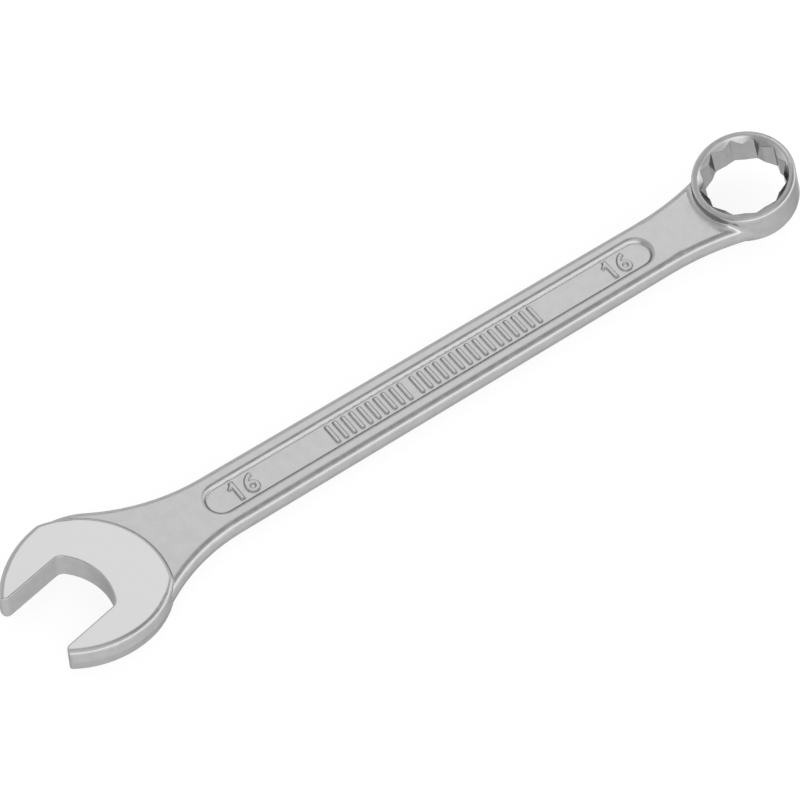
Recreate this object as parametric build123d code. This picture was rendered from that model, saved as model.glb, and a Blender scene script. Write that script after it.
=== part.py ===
from build123d import *
from math import asin, cos, hypot, radians, sin, sqrt, tan
import os

# Combination wrench, size 16: one drop forging with an open end and a 12-point ring end.
# Frame: the shank runs along X with the open end at -X and the ring at +X, Z is up, and the
# origin lies on the surface the wrench rests on, below the middle of its length.

# Size of the nut or bolt head it fits, and the clearance its openings are made with
SIZE = 16.0
CLEARANCE = 0.1
HALF_GAP = (SIZE + CLEARANCE) / 2

# Shank: a flat bar, a little wider towards the open end
MID_Z = 4.05
SHANK_THICK = 5.0
SHANK_HALF_WIDTH = 6.9
SHANK_SPREAD = 0.003
SHANK_ROUND = 1.55
DRAFT = 6.0

# Ring end, tilted so that the hand clears the work
RING_X = 85.0
RING_RAISE = 3.05
RING_TILT = 15.0
RING_RADIUS = 11.05
RING_HEIGHT = 9.2
RING_ROUND = 0.9
RING_NECK = 67.0
RING_ROOT_X = 85.8
RING_ROOT_RADIUS = 10.85
RING_BLEND = 1.2
SOCKET_MOUTH = 9.75
SOCKET_TURN = 7.5
MEETING = 0.2

# Open end: its faces stand proud of the shank, and its gap and jaws turn from the shank
HEAD_X = -80.0
HEAD_Y = -0.3
HEAD_RADIUS = 16.5
ROOT_X = -80.9
ROOT_Y = -0.4
ROOT_RADIUS = 16.35
NEAR_ROOT_RADIUS = 16.4
ROOT_END = 100.0
ROOT_INNER_X = -75.0
ROOT_INNER_Y = 5.0
FACE_X = -85.8
FACE_Y = -3.65
FACE_RADIUS = 20.1
FACE_CORNER = 3.0
JAW_RADIUS = 21.4
JAW_START = 90.0
HEAD_THICK = 6.5
HEAD_ROUND = 1.1
NEAR_NECK = 38.5
FAR_NECK = 43.0
JAW_TURN = 11.2
THROAT_X = -78.4
THROAT_Y = -0.25
THROAT_RADIUS = 12.8
THROAT_CORNER = 2.0
TIP_ROUND = 1.4
JAW_EDGE_ROUND = 0.3

# Sunken panel on both broad faces of the shank, with its raised marks
PANEL_X0 = -52.6
PANEL_X1 = 59.2
PANEL_FLOOR_WIDTH = 6.1
PANEL_DEPTH = 0.9
PANEL_SLOPE = 35.0
PANEL_LIP_ROUND = 0.9
PANEL_FOOT_ROUND = 0.2
MARK_HEIGHT = 0.4
MARK_SLOPE = 30.0
MARK_ROOT = 0.05
NUMERAL_HEIGHT = 5.0
NUMERAL_STROKE = 1.15
NUMERAL_X = [-45.3, 48.8]
NUMERAL_STEP = 3.3
RIB_LENGTH = 5.0
RIB_WIDTH = 1.15
RIB_PITCH = 2.0
RIB_GROUPS = [(-22.0, 10), (-1.0, 16)]

os.makedirs("parts", exist_ok=True)


def neck_points(cx, cy, circle_r, neck_r, side, end):
    """Three points of a hollow neck arc that is tangent to the shank's edge and an end's circle."""
    run = 1 / hypot(1, SHANK_SPREAD)
    rise = -side * SHANK_SPREAD * run
    out_x = SHANK_SPREAD * run
    out_y = side * run
    base_x = out_x * neck_r
    base_y = side * SHANK_HALF_WIDTH + out_y * neck_r
    along = (base_x - cx) * run + (base_y - cy) * rise
    apart = hypot(base_x - cx, base_y - cy)
    shift = -along - end * sqrt(along**2 - apart**2 + (circle_r + neck_r) ** 2)
    px = base_x + shift * run
    py = base_y + shift * rise
    on_edge = (px - out_x * neck_r, py - out_y * neck_r)
    share = circle_r / (circle_r + neck_r)
    on_circle = (cx + (px - cx) * share, cy + (py - cy) * share)
    mid_x = (on_edge[0] + on_circle[0]) / 2 - px
    mid_y = (on_edge[1] + on_circle[1]) / 2 - py
    scale = neck_r / hypot(mid_x, mid_y)
    return on_edge, (px + mid_x * scale, py + mid_y * scale), on_circle


def on_root(angle):
    """Point of the round back that the shank's broad faces end in."""
    turn = radians(angle)
    return (ROOT_X + ROOT_RADIUS * cos(turn), ROOT_Y + ROOT_RADIUS * sin(turn))


def bar_outline():
    """Plan of the shank with its four necks, ending inside the head and inside the ring."""
    head_left = neck_points(ROOT_X, ROOT_Y, ROOT_RADIUS, FAR_NECK, 1, -1)
    head_right = neck_points(HEAD_X, HEAD_Y, NEAR_ROOT_RADIUS, NEAR_NECK, -1, -1)
    root_end = on_root(ROOT_END)
    ring_left = neck_points(RING_ROOT_X, 0, RING_ROOT_RADIUS, RING_NECK, 1, 1)
    ring_right = neck_points(RING_ROOT_X, 0, RING_ROOT_RADIUS, RING_NECK, -1, 1)
    edges = [
        ThreePointArc(*head_left),
        Line(head_left[0], ring_left[0]),
        ThreePointArc(*ring_left),
        Line(ring_left[2], ring_right[2]),
        ThreePointArc(*ring_right),
        Line(ring_right[0], head_right[0]),
        ThreePointArc(*head_right),
        Line(head_right[2], (ROOT_INNER_X, ROOT_INNER_Y)),
        Line((ROOT_INNER_X, ROOT_INNER_Y), root_end),
        ThreePointArc(root_end, on_root(ROOT_END * 3 / 4), head_left[2]),
    ]
    return make_face(Wire(edges))


def drafted(face, height):
    """Forged slab: the outline at mid height, narrowing by the draft angle both ways."""
    upper = extrude(face, amount=height / 2, taper=DRAFT)
    return upper + mirror(upper, about=Plane.XY)


def at_height(shape, z):
    """Edges of a shape that lie at a height above or below its mid plane."""
    return [edge for edge in shape.edges() if abs(abs(edge.center().Z) - z) < 1e-3]


def panel_edges(shape, z):
    """The panel's edges at a height: its lip at the broad faces, or its foot at the floor."""
    half = PANEL_FLOOR_WIDTH / 2 + PANEL_DEPTH
    near = [edge for edge in at_height(shape, z) if abs(edge.center().Y) < half]
    return [edge for edge in near if PANEL_X0 - MEETING < edge.center().X < PANEL_X1 + MEETING]


def head_outline():
    """Plan of the open end: a round back, running into a flatter arc along each jaw."""
    start = radians(JAW_START)
    offset = JAW_RADIUS - HEAD_RADIUS
    centre_x = offset * cos(start)
    centre_y = -offset * sin(start)
    meet_x = centre_x - sqrt(JAW_RADIUS**2 - centre_y**2)
    begin = (-HEAD_RADIUS * cos(start), HEAD_RADIUS * sin(start))
    halfway = (start + asin(-centre_y / JAW_RADIUS)) / 2
    middle = (centre_x - JAW_RADIUS * cos(halfway), centre_y + JAW_RADIUS * sin(halfway))
    edges = [
        ThreePointArc(begin, middle, (meet_x, 0)),
        ThreePointArc((meet_x, 0), (middle[0], -middle[1]), (begin[0], -begin[1])),
        ThreePointArc((begin[0], -begin[1]), (HEAD_RADIUS, 0), begin),
    ]
    face = make_face(Wire(edges))
    return Location((HEAD_X, HEAD_Y, 0), (0, 0, JAW_TURN)) * face


def face_outline(head_plan):
    """Plan of the open end's proud faces, which end in a wide arc on the side of the shank."""
    beyond = Pos(HEAD_X + HEAD_RADIUS - FACE_CORNER, HEAD_Y) * Rectangle(2 * HEAD_RADIUS, 3 * HEAD_RADIUS)
    plan = head_plan - (beyond - Pos(FACE_X, FACE_Y) * Circle(FACE_RADIUS))
    on_arc = [
        corner
        for corner in plan.vertices()
        if abs(hypot(corner.X - FACE_X, corner.Y - FACE_Y) - FACE_RADIUS) < 0.001
    ]
    return fillet(on_arc, FACE_CORNER)


def jaw_gap_outline():
    """Plan of the open end's gap: parallel flats and a shallow round throat."""
    reach = 40.0
    sag = THROAT_RADIUS - sqrt(THROAT_RADIUS**2 - HALF_GAP**2)
    throat = ThreePointArc((-sag, HALF_GAP), (0, 0), (-sag, -HALF_GAP))
    flats = Polyline((-sag, -HALF_GAP), (-reach, -HALF_GAP), (-reach, HALF_GAP), (-sag, HALF_GAP))
    gap = make_face(Wire([throat, *flats.edges()]))
    corners = gap.vertices().sort_by(Axis.X)[-2:]
    gap = fillet(corners, THROAT_CORNER)
    return Location((THROAT_X, THROAT_Y, 0), (0, 0, JAW_TURN)) * gap


def socket():
    """Hole for the ring: two hexagons 30 degrees apart, opened by a cone at each mouth."""
    hexagon = RegularPolygon(HALF_GAP / cos(radians(30)), 6)
    points = hexagon + Rot(0, 0, 30) * hexagon
    hole = extrude(points, amount=RING_HEIGHT, both=True)
    depth = SOCKET_MOUTH - HALF_GAP + MEETING
    cone = Cone(HALF_GAP - MEETING, SOCKET_MOUTH, depth)
    upper = Pos(0, 0, (RING_HEIGHT - depth) / 2) * cone
    hole = hole + upper + mirror(upper, about=Plane.XY)
    return Rot(0, 0, SOCKET_TURN) * hole


def numeral_one():
    """Outline of a 1, from its base line up."""
    stem = Pos(0, NUMERAL_HEIGHT / 2) * Rectangle(NUMERAL_STROKE, NUMERAL_HEIGHT)
    fall = 1.2
    flag = Polygon(
        (0, NUMERAL_HEIGHT),
        (-1.5, NUMERAL_HEIGHT - fall),
        (-1.2, NUMERAL_HEIGHT - fall - NUMERAL_STROKE * 2 / 3),
        (0, NUMERAL_HEIGHT - fall),
        align=None,
    )
    return stem + flag


def numeral_six():
    """Outline of a 6, from its base line up."""
    bowl_r = 1.6
    stem_r = 3.4
    bowl = Circle(bowl_r) - Circle(bowl_r - NUMERAL_STROKE)
    stem = Circle(stem_r) - Circle(stem_r - NUMERAL_STROKE)
    reach = 2 * NUMERAL_HEIGHT
    sector = Polygon((0, 0), (-reach, 0), (-reach, reach), (-reach / 5, reach), align=None)
    return Pos(0, bowl_r) * (bowl + Pos(stem_r - bowl_r, 0) * (stem & sector))


def marks():
    """Raised size numerals near both ends of the panel and two groups of plain ribs between."""
    faces = []
    for x in NUMERAL_X:
        faces.append(Pos(x, -NUMERAL_HEIGHT / 2) * numeral_one())
        faces.append(Pos(x + NUMERAL_STEP, -NUMERAL_HEIGHT / 2) * numeral_six())
    rib = RectangleRounded(RIB_WIDTH, RIB_LENGTH, RIB_WIDTH / 3)
    for start, count in RIB_GROUPS:
        for i in range(count):
            faces.append(Pos(start + i * RIB_PITCH, 0) * rib)
    place = Pos(0, 0, SHANK_THICK / 2 - PANEL_DEPTH - MARK_ROOT)
    return [place * extrude(face, amount=MARK_HEIGHT + MARK_ROOT, taper=MARK_SLOPE) for face in faces]


bar = drafted(bar_outline(), SHANK_THICK)
rims = [edge for edge in at_height(bar, SHANK_THICK / 2) if abs(edge.center().Y) > SHANK_HALF_WIDTH / 2]
bar = fillet(rims, SHANK_ROUND)

wall_run = PANEL_DEPTH * tan(radians(PANEL_SLOPE))
panel_floor = SlotOverall(PANEL_X1 - PANEL_X0 - 2 * wall_run, PANEL_FLOOR_WIDTH)
panel = extrude(panel_floor, amount=PANEL_DEPTH, taper=-PANEL_SLOPE)
panel = Pos((PANEL_X0 + PANEL_X1) / 2, 0, SHANK_THICK / 2 - PANEL_DEPTH) * panel
bar = bar - panel - mirror(panel, about=Plane.XY)
bar = fillet(panel_edges(bar, SHANK_THICK / 2), PANEL_LIP_ROUND)
bar = fillet(panel_edges(bar, SHANK_THICK / 2 - PANEL_DEPTH), PANEL_FOOT_ROUND)
for mark in marks():
    bar = bar + mark + Rot(180, 0, 0) * mark

head_plan = head_outline()
gap_plan = jaw_gap_outline()
gap = extrude(gap_plan, amount=HEAD_THICK, both=True)
face_plan = face_outline(head_plan)
head = drafted(face_plan, HEAD_THICK)
head = fillet(at_height(head, HEAD_THICK / 2), HEAD_ROUND) - gap
jaws_plan = head_plan - gap_plan
tips = jaws_plan.vertices().sort_by(Axis.X)[:2]
for corner in (jaws_plan - fillet(tips, TIP_ROUND)).faces():
    head = head - extrude(corner, amount=HEAD_THICK, both=True)
face_edges = at_height(head, HEAD_THICK / 2)
gap_edges = [edge for edge in face_edges if gap.distance_to(edge @ 0.5) < 0.01]
head = fillet(gap_edges, JAW_EDGE_ROUND)

ring_place = Location((RING_X, 0, RING_RAISE), (0, -RING_TILT, 0))
ring = Cylinder(RING_RADIUS, RING_HEIGHT)
ring = fillet(ring.edges().filter_by(GeomType.CIRCLE), RING_ROUND)
below_ring = Pos(10, 0, -RING_HEIGHT / 2 - 15) * Box(60, 60, 30)
wrench = bar + head - ring_place * below_ring + ring_place * ring
seams = wrench.edges().filter_by(GeomType.ELLIPSE)
wrench = fillet([edge for edge in seams if edge.center().X > PANEL_X1], RING_BLEND)
wrench = wrench - ring_place * socket()

wrench = Pos(0, 0, MID_Z) * wrench
wrench.label = "wrench_forging"
export_step(wrench, "parts/wrench_forging.step")

box = wrench.bounding_box()
print("solids", len(wrench.solids()), "valid", wrench.is_valid, "volume", round(wrench.volume, 1))
print("box", box.min, box.max)
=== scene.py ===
from math import cos, radians, sin

import bpy
from mathutils import Euler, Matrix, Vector

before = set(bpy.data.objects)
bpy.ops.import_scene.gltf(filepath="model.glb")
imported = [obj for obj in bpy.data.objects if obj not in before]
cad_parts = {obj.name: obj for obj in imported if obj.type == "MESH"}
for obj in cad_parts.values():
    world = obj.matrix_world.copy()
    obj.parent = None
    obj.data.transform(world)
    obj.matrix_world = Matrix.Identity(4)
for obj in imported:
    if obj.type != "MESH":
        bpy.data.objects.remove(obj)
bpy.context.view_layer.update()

MM = 0.001
MM_PER_METRE = 1000.0
NODE = "wrench_forging"
WHITE = (1, 1, 1, 1)


# ---------------------------------------------------------------- camera
AIM = Vector((-4.7, 0.75, 2.5)) * MM
CAMERA_ELEVATION = 54.42
CAMERA_TURN = -36.49
CAMERA_ROLL = 0.37
CAMERA_DISTANCE = 691.0 * MM
LENS = 153.2
SENSOR_WIDTH = 36.0
CLIP_START = 0.05
CLIP_END = 20.0

cam_data = bpy.data.cameras.new("camera")
cam_data.lens = LENS
cam_data.sensor_width = SENSOR_WIDTH
cam_data.clip_start = CLIP_START
cam_data.clip_end = CLIP_END
camera = bpy.data.objects.new("camera", cam_data)
bpy.context.scene.collection.objects.link(camera)
tilt = Euler((radians(90 - CAMERA_ELEVATION), 0, radians(CAMERA_TURN))).to_matrix()
roll = Euler((0, 0, radians(CAMERA_ROLL))).to_matrix()
camera.matrix_world = (tilt @ roll).to_4x4()
camera.location = AIM + tilt @ Vector((0, 0, CAMERA_DISTANCE))
bpy.context.scene.camera = camera
bpy.context.scene.view_settings.view_transform = "Standard"


# ---------------------------------------------------------------- shader nodes
class Tree:
    """Short calls for building a node tree."""

    def __init__(self, tree):
        self.tree = tree
        self.tree.nodes.clear()

    def node(self, kind, inputs=None, **settings):
        """A new node, with a value or a link for each input named."""
        made = self.tree.nodes.new(kind)
        for name, value in settings.items():
            setattr(made, name, value)
        for socket, value in (inputs or {}).items():
            if isinstance(value, bpy.types.NodeSocket):
                self.tree.links.new(value, made.inputs[socket])
            else:
                made.inputs[socket].default_value = value
        return made

    def math(self, operation, a, b=0.0):
        return self.node("ShaderNodeMath", {0: a, 1: b}, operation=operation).outputs[0]

    def vector(self, operation, a, b):
        return self.node("ShaderNodeVectorMath", {0: a, 1: b}, operation=operation).outputs

    def ramp(self, value, start, end, low=0.0, high=1.0):
        """A smooth step from low at start to high at end."""
        inputs = {"Value": value, "From Min": start, "From Max": end, "To Min": low, "To Max": high}
        return self.node("ShaderNodeMapRange", inputs, interpolation_type="SMOOTHSTEP").outputs[0]

    def mix(self, share, a, b):
        """The value a where share is 0 and b where it is 1."""
        return self.node("ShaderNodeMix", {0: share, 2: a, 3: b}, data_type="FLOAT").outputs[0]

    def noise(self, place, scale, detail):
        inputs = {"Vector": place, "Scale": scale, "Detail": detail}
        return self.node("ShaderNodeTexNoise", inputs).outputs[0]

    def bump(self, height, distance, strength, normal):
        inputs = {"Height": height, "Distance": distance, "Strength": strength, "Normal": normal}
        return self.node("ShaderNodeBump", inputs).outputs[0]


# ---------------------------------------------------------------- studio light
AMBIENT = 0.9
# Soft patches of the studio: azimuth from +X, elevation, half width and softness in degrees, and gain
PATCHES = [
    (-38, 56, 12, 22, -0.42),
    (53, 52, 8, 11, 0.62),
    (85, 58, 28, 25, -0.22),
    (63, 36, 6, 12, -0.12),
    (170, 20, 20, 30, -0.20),
    (-165, 30, 10, 30, -0.15),
]
# A low bright band in front: azimuth and half width with softness, elevation and half height with softness
BAND_AZIMUTH = -75
BAND_HALF_WIDTH = 60
BAND_SIDE_SOFTNESS = 25
BAND_ELEVATION = 12
BAND_HALF_HEIGHT = 10
BAND_TOP_SOFTNESS = 8
BAND_GAIN = 0.75

world = bpy.data.worlds.new("studio")
bpy.context.scene.world = world
world.use_nodes = True
sky = Tree(world.node_tree)
direction = sky.node("ShaderNodeTexCoord").outputs["Generated"]


def toward(azimuth, elevation):
    """Unit vector toward a place in the studio."""
    a = radians(azimuth)
    e = radians(elevation)
    return (cos(e) * cos(a), cos(e) * sin(a), sin(e))


def spread(azimuth, elevation, half_width, softness, gain):
    """Light within an angle of a place in the studio, fading out beyond it."""
    near = sky.vector("DOT_PRODUCT", direction, toward(azimuth, elevation))["Value"]
    edge = cos(radians(half_width + softness))
    return sky.ramp(near, edge, cos(radians(half_width)), 0, gain)


glow = AMBIENT
for patch in PATCHES:
    glow = sky.math("ADD", glow, spread(*patch))
sideways = spread(BAND_AZIMUTH, 0, BAND_HALF_WIDTH, BAND_SIDE_SOFTNESS, BAND_GAIN)
rise = sky.math("ARCSINE", sky.node("ShaderNodeSeparateXYZ", {0: direction}).outputs["Z"])
off = sky.math("ABSOLUTE", sky.math("SUBTRACT", rise, radians(BAND_ELEVATION)))
band_edge = radians(BAND_HALF_HEIGHT + BAND_TOP_SOFTNESS)
upright = sky.ramp(off, band_edge, radians(BAND_HALF_HEIGHT))
glow = sky.math("ADD", glow, sky.math("MULTIPLY", sideways, upright))
back = sky.node("ShaderNodeBackground", {"Color": WHITE, "Strength": glow})
sky.node("ShaderNodeOutputWorld", {"Surface": back.outputs[0]})


# ---------------------------------------------------------------- floor
FLOOR_SIZE = 4.0
FLOOR_GLOW = 0.83
FLOOR_COLOUR = 0.25
FLOOR_ROUGHNESS = 0.9

floor_mesh = bpy.data.meshes.new("floor")
corners = [(x * FLOOR_SIZE, y * FLOOR_SIZE, 0) for x, y in ((-1, -1), (1, -1), (1, 1), (-1, 1))]
floor_mesh.from_pydata(corners, [], [(0, 1, 2, 3)])
floor = bpy.data.objects.new("floor", floor_mesh)
bpy.context.scene.collection.objects.link(floor)
floor_mat = bpy.data.materials.new("floor")
floor_mat.use_nodes = True
table = Tree(floor_mat.node_tree)
floor_shader = table.node("ShaderNodeBsdfPrincipled", {
    "Base Color": (FLOOR_COLOUR, FLOOR_COLOUR, FLOOR_COLOUR, 1),
    "Roughness": FLOOR_ROUGHNESS,
    "Specular IOR Level": 0.0,
    "Emission Color": WHITE,
    "Emission Strength": FLOOR_GLOW,
})
table.node("ShaderNodeOutputMaterial", {"Surface": floor_shader.outputs[0]})
floor_mesh.materials.append(floor_mat)


# ---------------------------------------------------------------- plated steel
# Places on the wrench, in millimetres: the open end's polished faces lie FACE_HEIGHT above and
# below its middle height, beyond HEAD_END, and the ring is polished beyond RING_END
MID_HEIGHT = 4.05
FACE_HEIGHT = 3.25
FACE_FADE = 0.12
HEAD_START = -60
HEAD_END = -64
RING_START = 72
RING_END = 77
RING_CENTRE = (85.0, 0.0, 7.1)
RING_TILT = 15.0
SOCKET_RADIUS = 9.4
SOCKET_FADE = 0.2

# Noises: cycles per millimetre, detail, and the height of the bumps made from them
GRAIN_SCALE = 1.1
GRAIN_DETAIL = 3.0
GRAIN_BUMP = 0.009 * MM
MOTTLE_SCALE = 0.5
MOTTLE_DETAIL = 2.0
MOTTLE_LOW = 0.3
MOTTLE_HIGH = 0.7
WAVE_SCALE = 0.18
WAVE_DETAIL = 2.0
WAVE_BUMP = 0.045 * MM

# Satin plate, polished plate, and how much of the grain is left where it is polished
SATIN_ROUGHNESS = (0.25, 0.33)
SATIN_TONE = (0.49, 0.53)
POLISHED_ROUGHNESS = 0.13
FACE_TONE = 0.54
RING_POLISH = 0.8
POLISHED_GRAIN = 0.05
# Painted shade: steep walls and the socket get a little darker base colour, in the socket on top of a
# duller broached finish; reflections at grazing angles are duller too
STEEP_WALL_PAINTED_SHADE = 0.93
STEEP_START = 0.5
STEEP_END = 0.2
# Painted shade in the socket's recess, together with a duller broached finish
SOCKET_SHADE_AND_DULL_TONE = 0.85
GRAZING_TONE = 0.5
# Crisp edges are rounded by this much in the shading only
EDGE_SOFTNESS = 0.35 * MM
EDGE_SAMPLES = 6


def plated_steel():
    """Satin chrome plate over forged steel, polished on the open end's faces and on the ring."""
    mat = bpy.data.materials.new("plated_steel_satin")
    mat.use_nodes = True
    t = Tree(mat.node_tree)
    place = t.node("ShaderNodeTexCoord").outputs["Object"]
    scaled = t.node("ShaderNodeVectorMath", {0: place, "Scale": MM_PER_METRE}, operation="SCALE")
    spot = scaled.outputs[0]
    at = t.node("ShaderNodeSeparateXYZ", {0: spot})

    height = t.math("ABSOLUTE", t.math("SUBTRACT", at.outputs["Z"], MID_HEIGHT))
    head = t.ramp(at.outputs["X"], HEAD_START, HEAD_END)
    face = t.math("MULTIPLY", t.ramp(height, FACE_HEIGHT - FACE_FADE, FACE_HEIGHT), head)
    ring = t.ramp(at.outputs["X"], RING_START, RING_END)

    axis = (-sin(radians(RING_TILT)), 0, cos(radians(RING_TILT)))
    from_ring = t.vector("SUBTRACT", spot, RING_CENTRE)[0]
    across = t.vector("CROSS_PRODUCT", from_ring, axis)[0]
    radius = t.node("ShaderNodeVectorMath", {0: across}, operation="LENGTH").outputs["Value"]
    socket = t.ramp(radius, SOCKET_RADIUS, SOCKET_RADIUS - SOCKET_FADE)

    grain = t.noise(spot, GRAIN_SCALE, GRAIN_DETAIL)
    mottle = t.noise(spot, MOTTLE_SCALE, MOTTLE_DETAIL)
    wave = t.noise(spot, WAVE_SCALE, WAVE_DETAIL)

    rough = t.ramp(mottle, MOTTLE_LOW, MOTTLE_HIGH, *SATIN_ROUGHNESS)
    rough = t.mix(ring, rough, POLISHED_ROUGHNESS)
    rough = t.mix(face, rough, POLISHED_ROUGHNESS)
    tone = t.ramp(mottle, MOTTLE_LOW, MOTTLE_HIGH, *SATIN_TONE)
    tone = t.mix(face, tone, FACE_TONE)
    normal = t.node("ShaderNodeNewGeometry").outputs["Normal"]
    flatness = t.math("ABSOLUTE", t.node("ShaderNodeSeparateXYZ", {0: normal}).outputs["Z"])
    # Painted shade: the base colour darkens on steep walls, where the surface tilts away from flat
    tone = t.math("MULTIPLY", tone, t.ramp(flatness, STEEP_START, STEEP_END, 1.0, STEEP_WALL_PAINTED_SHADE))
    # Painted shade inside the socket recess, on top of its duller broached finish
    tone = t.math("MULTIPLY", tone, t.ramp(socket, 0, 1, 1.0, SOCKET_SHADE_AND_DULL_TONE))

    soft_edge = t.node("ShaderNodeBevel", {"Radius": EDGE_SOFTNESS}, samples=EDGE_SAMPLES)
    wavy = t.bump(wave, WAVE_BUMP, 1.0, soft_edge.outputs[0])
    polish = t.math("MAXIMUM", face, t.math("MULTIPLY", ring, RING_POLISH))
    grainy = t.bump(grain, GRAIN_BUMP, t.ramp(polish, 0, 1, 1.0, POLISHED_GRAIN), wavy)
    shader = t.node("ShaderNodeBsdfPrincipled", {
        "Base Color": t.node("ShaderNodeCombineColor", {0: tone, 1: tone, 2: tone}).outputs[0],
        "Metallic": 1.0,
        "Roughness": rough,
        "Specular Tint": (GRAZING_TONE, GRAZING_TONE, GRAZING_TONE, 1),
        "Normal": grainy,
    })
    t.node("ShaderNodeOutputMaterial", {"Surface": shader.outputs[0]})
    return mat


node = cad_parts[NODE]
node.data.materials.clear()
node.data.materials.append(plated_steel())
